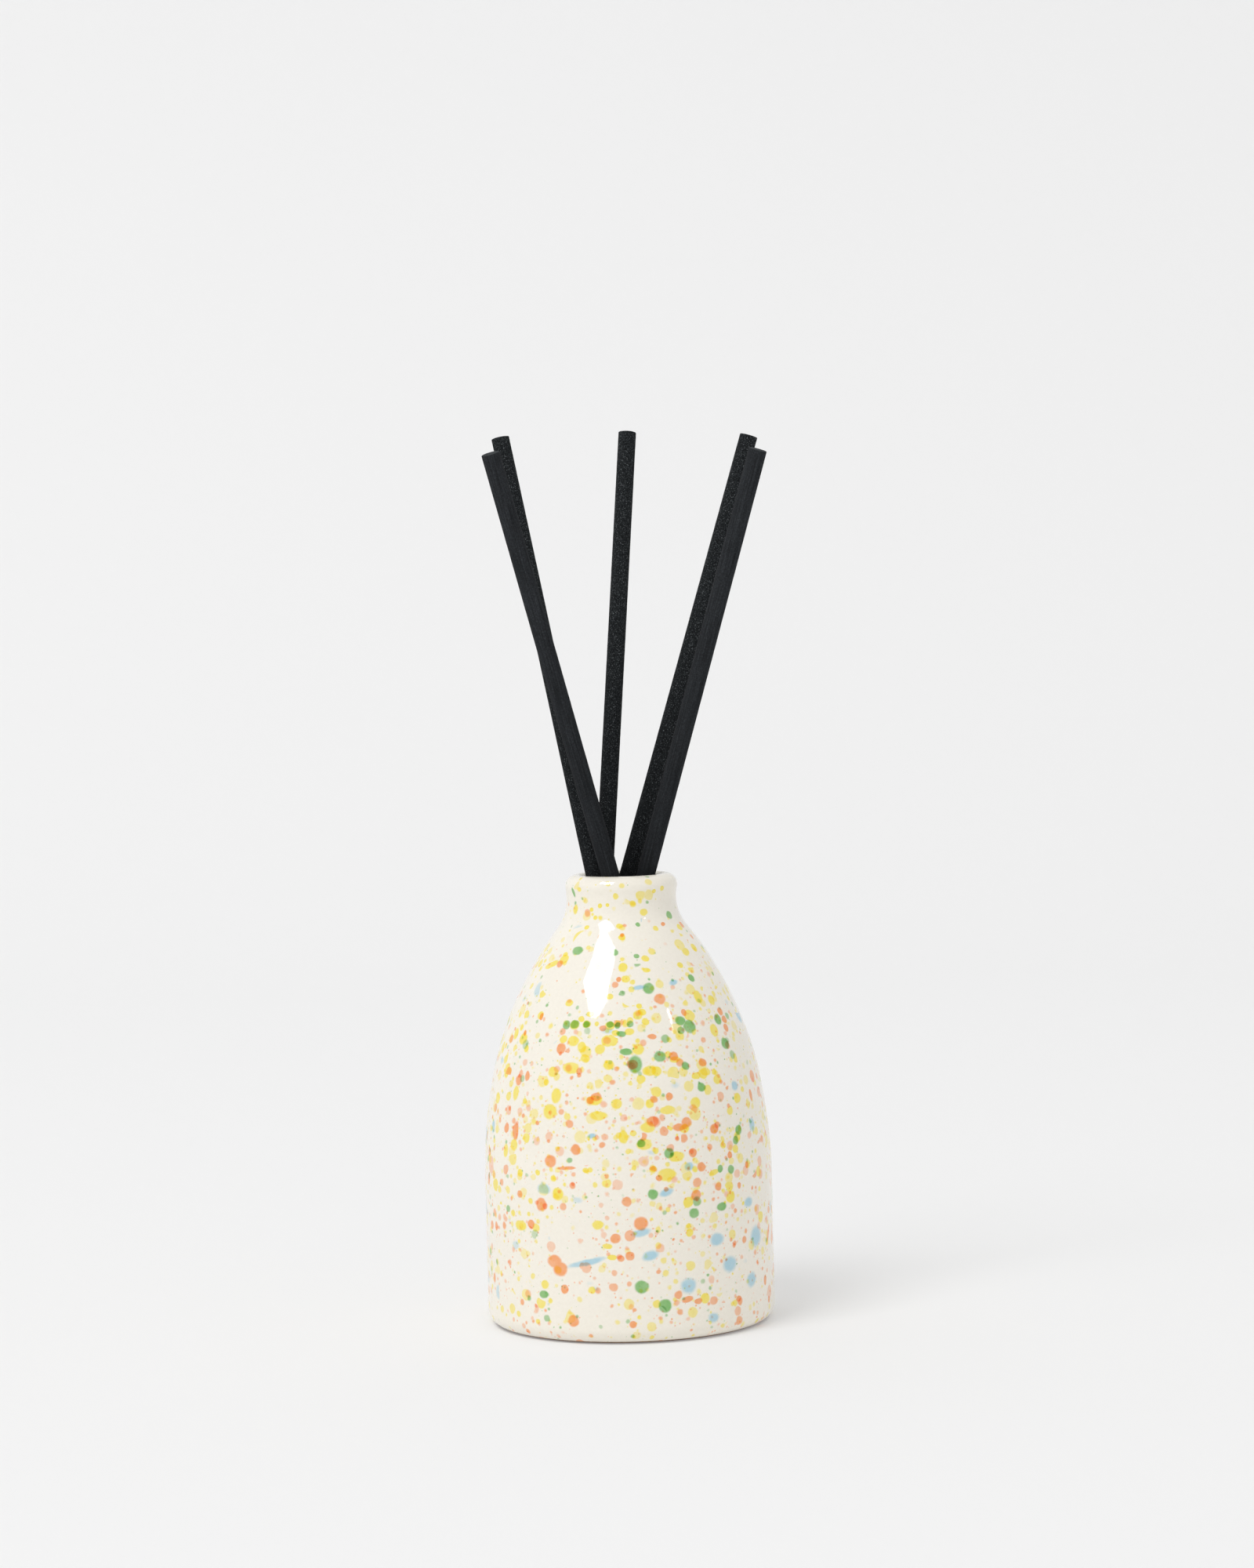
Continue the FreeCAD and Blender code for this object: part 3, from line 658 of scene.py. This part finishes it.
def fillOil():
    b, shape, level, steps = bottle, bottleArcs(), oil["level"], oil["steps"]
    inner = b["bodyRadius"] - b["wall"] - oil["gap"]
    base = b["floorTop"] + oil["gap"]
    corner = b["floorRound"] - oil["gap"]
    shoulderIn = b["shoulderRadius"] - b["wall"] - oil["gap"]
    edge = math.degrees(math.asin((level + oil["creep"] - b["shoulderStart"]) / shoulderIn))
    rows = [(out, base) for out in (b["pole"], *reversed(b["floorRings"]))]
    rows += arc((inner - corner, base + corner), corner, -90, 0, steps)
    rows += [(inner, up) for up in oil["sideRings"]]
    rows += arc(shape["low"], shoulderIn, 0, edge, steps)
    rim = rows[-1][0]
    rows += [(rim - back, level + up) for back, up in oil["meniscus"]]
    rows += [(out, level) for out in (*oil["surfaceRings"], b["pole"])]
    return turnShape("oil_fill", rows, oil["sides"])


def amberOil():
    # perfume oil: clear, bends light a little more than water does, with a faint haze of colour
    material, tree = newMaterial("clearAmberOil")
    place = addNode(tree, "TexCoord").outputs["Object"]
    haze = addNode(tree, "TexNoise", inputs={
        "Vector": place, "Scale": 1 / (oil["haze"] * mm), "Detail": 2.0})
    deep, pale = oil["colours"]
    tint = addNode(tree, "Mix", {"data_type": "RGBA"}, {
        0: haze.outputs[0], 6: toLinear(deep), 7: toLinear(pale)})
    shader = addNode(tree, "BsdfPrincipled", inputs={
        "Base Color": tint.outputs[2], "Roughness": oil["roughness"], "IOR": oil["ior"],
        "Transmission Weight": oil["clearness"]})
    finishMaterial(tree, shader)
    return material


liquid = fillOil()
liquid.data.materials.append(amberOil())
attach(liquid, "bottle")
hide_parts("fragrance_oil")
print("oil poured")


# reeds: one rod of bonded fibre is made, then copied to each place

reed = {
    "radius": 2.05,
    "length": 200.0,
    "around": 56,
    "cuts": (9, 19),             # rings along the rod, for the felted surface
    "edge": 0.14,                # crushed edge left by the cutter
    "capInsets": (0.1, 0.29, 0.29),      # rings on the cut ends, as shares of the radius
    "felt": 0.05,                # how far the fibres stand off the round
    "feltLength": 0.9,
    "smoothBelow": 50,           # degrees: sharper edges than this stay sharp
    "endOn": 0.85,               # a face turned this squarely along the rod is part of its cut end
    "hairSpread": (40, 40, 1),   # hairs around the rod and along it
    "bumpDepth": 0.06,
    "roughness": 0.95,
    "ior": 1.4,
    "reflects": 0.15,            # how much of the surface reflection is left
    "hairNoise": (0.35, 0.65),
    "ringless": 2.0,             # edges longer than this are cut into rings
    "finishes": {
        # two copies of one black fibre: painted lighter as lit for the front reeds, painted darker as shaded
        # for the rest
        "paintedLit": {"speck": 0.3, "hairs": (0.7, 1.3), "bump": 0.3,
                   "tones": [(0.32, "#212325"), (0.5, "#282A2D"), (0.68, "#323538")]},
        "paintedShaded": {"speck": 0.26, "hairs": (0.9, 1.1), "bump": 0.7,
                   "tones": [(0.36, "#0E1011"), (0.5, "#1D2022"), (0.6, "#2C2F31"), (0.69, "#686C6E")]},
        "cut": {"speck": 0.24, "hairs": (1.0, 1.0), "bump": 0.8,        # fibre ends, where the rod is sawn
                "tones": [(0.36, "#232527"), (0.5, "#333638"), (0.65, "#4C5052")]},
    },
    "paintedLit": ("reed_front_left", "reed_front_right"),       # the front reeds take the copy painted lighter and less grainy, as lit; the others take the copy painted darker and grainier, as shaded
    "mouthShade": 0.7,               # painted shade: the rods are darkened near the mouth, where they crowd together,
    "mouthShadeFrom": (100, 165),    # and the painted shade fades out between these heights
    "rolls": {"reed_centre": 0, "reed_back_left": 70, "reed_front_left": 140,
              "reed_back_right": 215, "reed_front_right": 290},
}


def fibreRod():
    deselectAll()
    radius = (reed["radius"] - reed["felt"] / 2) * mm
    half = reed["length"] / 2 * mm
    bpy.ops.mesh.primitive_cylinder_add(vertices=reed["around"], radius=radius, depth=2 * half)
    rod = bpy.context.object
    rod.name = rod.data.name = "fibre_rod"
    bpy.ops.object.mode_set(mode="EDIT")
    pick(rod, "edges", lambda e: abs(abs(e.verts[0].co.z + e.verts[1].co.z) / 2 - half) < close)
    bpy.ops.mesh.bevel(offset=reed["edge"] * mm, segments=3)
    for share in reed["capInsets"]:
        pick(rod, "faces", lambda f: abs(f.normal.z) > reed["endOn"] and len(f.verts) > 4)
        bpy.ops.mesh.inset(thickness=radius * share, use_individual=True)
    pick(rod, "faces", lambda f: len(f.verts) > 4)
    bpy.ops.mesh.poke()
    for cuts in reed["cuts"]:
        pick(rod, "edges", lambda e: abs(e.verts[0].co.z - e.verts[1].co.z) > reed["ringless"] * mm)
        bpy.ops.mesh.subdivide(number_cuts=cuts)
    bpy.ops.mesh.select_all(action="SELECT")
    bpy.ops.mesh.normals_make_consistent(inside=False)
    bpy.ops.object.mode_set(mode="OBJECT")
    bpy.ops.object.shade_smooth_by_angle(angle=math.radians(reed["smoothBelow"]))
    felt = bpy.data.textures.new("feltedFibre", "CLOUDS")
    felt.noise_scale = reed["feltLength"] * mm
    felt.noise_depth = 2
    rough = rod.modifiers.new("felt", "DISPLACE")
    rough.texture = felt
    rough.texture_coords = "LOCAL"
    rough.mid_level = 0.5
    rough.strength = reed["felt"] * mm
    bpy.ops.object.modifier_apply(modifier=rough.name)
    return rod


def dyedFibre(finish):
    # bonded polyester fibre dyed black: matte, with fine specks whose brightest tones are painted glints,
    # with hairs along the rod
    look = reed["finishes"][finish]
    material, tree = newMaterial(finish + "BlackFibre")
    coords = addNode(tree, "TexCoord")
    place, along = coords.outputs["Object"], coords.outputs["UV"]
    # fibres are 0.02 mm thick: drawn as specks some 0.3 mm across, as coarse as they have to be to show
    speck = addNode(tree, "TexNoise", inputs={
        "Vector": place, "Scale": 1 / (look["speck"] * mm), "Detail": 2.0, "Roughness": 0.75})
    # the speck tones are the fibre's grain, and their brightest stops are painted glints of the fibres
    grainAndGlints = addNode(tree, "ValToRGB", inputs={0: speck.outputs[0]})
    setStops(grainAndGlints, look["tones"])
    # hairs that lie along the rod, 0.3 mm apart and several millimetres long
    stretch = addNode(tree, "Mapping", inputs={"Vector": along, "Scale": reed["hairSpread"]})
    hair = addNode(tree, "TexNoise", inputs={"Vector": stretch.outputs[0], "Scale": 1.0, "Detail": 3.0})
    low, high = reed["hairNoise"]
    least, most = look["hairs"]
    hairs = addNode(tree, "MapRange", inputs={
        "Value": hair.outputs[0], "From Min": low, "From Max": high, "To Min": least, "To Max": most})
    height = addNode(tree, "SeparateXYZ", inputs={0: place})
    # painted shade: the rods are darkened towards the mouth
    shadeFull, shadeGone = reed["mouthShadeFrom"]
    mouthShade = addNode(tree, "MapRange", inputs={
        "Value": height.outputs["Z"], "From Min": shadeFull * mm, "From Max": shadeGone * mm, "To Min": reed["mouthShade"]})
    shade = addNode(tree, "Math", {"operation": "MULTIPLY"}, {0: hairs.outputs[0], 1: mouthShade.outputs[0]})
    colour = addNode(tree, "VectorMath", {"operation": "SCALE"}, {
        0: grainAndGlints.outputs[0], "Scale": shade.outputs[0]})
    bump = addNode(tree, "Bump", inputs={
        "Strength": look["bump"], "Distance": reed["bumpDepth"] * mm, "Height": speck.outputs[0]})
    shader = addNode(tree, "BsdfPrincipled", inputs={
        "Base Color": colour.outputs[0], "Roughness": reed["roughness"], "IOR": reed["ior"],
        "Specular IOR Level": reed["reflects"], "Normal": bump.outputs[0]})
    finishMaterial(tree, shader)
    return material


fibres = {finish: dyedFibre(finish) for finish in reed["finishes"]}
master = fibreRod()
slides = {joint["child"]: Vector(joint["axis"]).normalized() for joint in frame["joints"]}
for node, roll in reed["rolls"].items():
    body = node + "_body"
    deselectAll()
    master.select_set(True)
    bpy.context.view_layer.objects.active = master
    bpy.ops.object.duplicate()
    stick = bpy.context.object
    stick.name = stick.data.name = node + "_stick"
    # painted light and shade: the front reeds get the lighter copy, the rest get the darker one
    for finish in ("paintedLit" if node in reed["paintedLit"] else "paintedShaded", "cut"):
        stick.data.materials.append(fibres[finish])
    low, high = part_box(node)
    middle = (low + high) / 2
    upright = slides[body].to_track_quat("Z", "Y").to_matrix().to_4x4()
    stick.matrix_world = Matrix.Translation(middle) @ upright @ Matrix.Rotation(math.radians(roll), 4, "Z")
    bpy.ops.object.transform_apply(location=True, rotation=True, scale=True)
    for face in stick.data.polygons:
        if abs(face.normal.dot(slides[body])) > reed["endOn"]:
            face.material_index = 1
    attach(stick, body)
    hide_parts(node)
bpy.data.objects.remove(master)
print("reeds set in the mouth")


# studio: pale paper sweep, one soft box from the upper left, even white room, and two cards that
# only gloss shows: the soft box's reflection and a small one to the right; sizes here in metres

studio = {
    "paper": "#D8D8D8",
    "paperTooth": 900.0,
    "paperGlow": 0.21,           # keeps the background even
    "under": 0.02 * mm,          # the paper lies just clear of the foot ring
    "front": -1.6,
    "bend": 0.75,                # where the paper starts to rise behind the bottle
    "bendRadius": 0.6,
    "bendStep": 6,               # degrees
    "halfWidth": 2.2,
    "wallTop": 2.6,
    "room": 0.68,
    "boxSize": (1.75, 1.84),
    "boxFar": 4.0,
    "boxFrom": (-0.396, -0.467, 0.791),
    "boxPower": 59.0,
    "boxLift": 0.01,             # the card hangs this far in front of the box
    "glare": 19.0,
    "glareTip": (0.3, 0.22),     # the card runs down to a narrow tip: how much of the height, how wide
    "tipAside": 0.08,            # and the tip stands this share of the width to one side
    "glareTop": 0.85,            # width of the top edge, as a share of the rest
    "spotFrom": (0.647, -0.502, 0.574),
    "spotSize": (0.12, 0.22),
    "spotGlare": 30.0,
    "aim": (0, 0, 0.07),
}


def paperSweep():
    deselectAll()
    depth = studio["bend"] - studio["front"]
    bpy.ops.mesh.primitive_plane_add(size=1, location=(0, studio["front"] + depth / 2, -studio["under"]))
    sweep = bpy.context.object
    sweep.name = "paper_sweep"
    sweep.scale = (2 * studio["halfWidth"], depth, 1)
    bpy.ops.object.transform_apply(location=True, rotation=True, scale=True)
    bpy.ops.object.mode_set(mode="EDIT")
    pick(sweep, "edges", lambda e: min(v.co.y for v in e.verts) > studio["bend"] - close)
    last, step = (studio["bend"], 0.0), studio["bendStep"]
    curve = [(studio["bend"] + r * math.sin(a), r - r * math.cos(a)) for r, a in
             [(studio["bendRadius"], math.radians(turn)) for turn in range(step, 91, step)]]
    for y, z in curve + [(curve[-1][0], studio["wallTop"])]:
        bpy.ops.mesh.extrude_region_move(TRANSFORM_OT_translate={"value": (0, y - last[0], z - last[1])})
        last = (y, z)
    bpy.ops.object.mode_set(mode="OBJECT")
    bpy.ops.object.shade_smooth()
    material, tree = newMaterial("whiteBackgroundPaper")
    place = addNode(tree, "TexCoord").outputs["Object"]
    tooth = addNode(tree, "TexNoise", inputs={
        "Vector": place, "Scale": studio["paperTooth"], "Detail": 2.0})
    bump = addNode(tree, "Bump", inputs={
        "Strength": 0.05, "Distance": 0.05 * mm, "Height": tooth.outputs[0]})
    shader = addNode(tree, "BsdfPrincipled", inputs={
        "Base Color": toLinear(studio["paper"]), "Roughness": 1.0, "Specular IOR Level": 0.0,
        "Emission Color": (1, 1, 1, 1), "Emission Strength": studio["paperGlow"],
        "Normal": bump.outputs[0]})
    finishMaterial(tree, shader)
    sweep.data.materials.append(material)


def facing(direction):
    return Vector(direction).normalized().to_track_quat("Z", "Y").to_euler()


def softBox(name, size, far, direction, power):
    deselectAll()
    place = Vector(studio["aim"]) + Vector(direction).normalized() * far
    bpy.ops.object.light_add(type="AREA", location=place, rotation=facing(direction))
    lamp = bpy.context.object
    lamp.name = name
    lamp.data.shape = "RECTANGLE"
    lamp.data.size, lamp.data.size_y = size
    lamp.data.energy = power
    lamp.visible_glossy = False


def glareCard(name, size, far, direction, strength, tip=None):
    # a bright card that only glossy surfaces see, shaped before it is put in its place
    deselectAll()
    bpy.ops.mesh.primitive_plane_add(size=1)
    card = bpy.context.object
    card.name = name
    card.scale = (size[0], size[1], 1)
    bpy.ops.object.transform_apply(location=True, rotation=True, scale=True)
    if tip:
        share, narrow = tip
        half, cut, aside = size[1] / 2, size[1] * share, size[0] * studio["tipAside"]
        bpy.ops.object.mode_set(mode="EDIT")
        pick(card, "edges", lambda e: max(v.co.y for v in e.verts) < 0)
        bpy.ops.transform.translate(value=(0, cut, 0))
        bpy.ops.mesh.extrude_region_move(TRANSFORM_OT_translate={"value": (aside, -cut, 0)})
        bpy.ops.transform.resize(value=(narrow, 1, 1), center_override=(aside, -half, 0))
        pick(card, "edges", lambda e: min(v.co.y for v in e.verts) > half - close)
        bpy.ops.transform.resize(value=(studio["glareTop"], 1, 1), center_override=(0, half, 0))
        bpy.ops.object.mode_set(mode="OBJECT")
    card.location = Vector(studio["aim"]) + Vector(direction).normalized() * far
    card.rotation_euler = facing(direction)
    bpy.ops.object.transform_apply(location=True, rotation=True, scale=True)
    material, tree = newMaterial(name + "Light")
    light = addNode(tree, "Emission", inputs={"Strength": strength})
    finishMaterial(tree, light)
    card.data.materials.append(material)
    card.visible_camera = card.visible_diffuse = card.visible_shadow = card.visible_transmission = False


def whiteRoom():
    world = bpy.data.worlds.new("whiteRoom")
    bpy.context.scene.world = world
    world.use_nodes = True
    tree = world.node_tree
    tree.nodes.clear()
    light = addNode(tree, "Background", inputs={"Color": (1, 1, 1, 1), "Strength": studio["room"]})
    addNode(tree, "OutputWorld", inputs={"Surface": light.outputs[0]})


paperSweep()
whiteRoom()
softBox("softBoxLeft", studio["boxSize"], studio["boxFar"], studio["boxFrom"], studio["boxPower"])
glareCard("boxGlare", studio["boxSize"], studio["boxFar"] - studio["boxLift"], studio["boxFrom"],
          studio["glare"], studio["glareTip"])
glareCard("spotGlare", studio["spotSize"], studio["boxFar"], studio["spotFrom"], studio["spotGlare"])
print("studio lit")
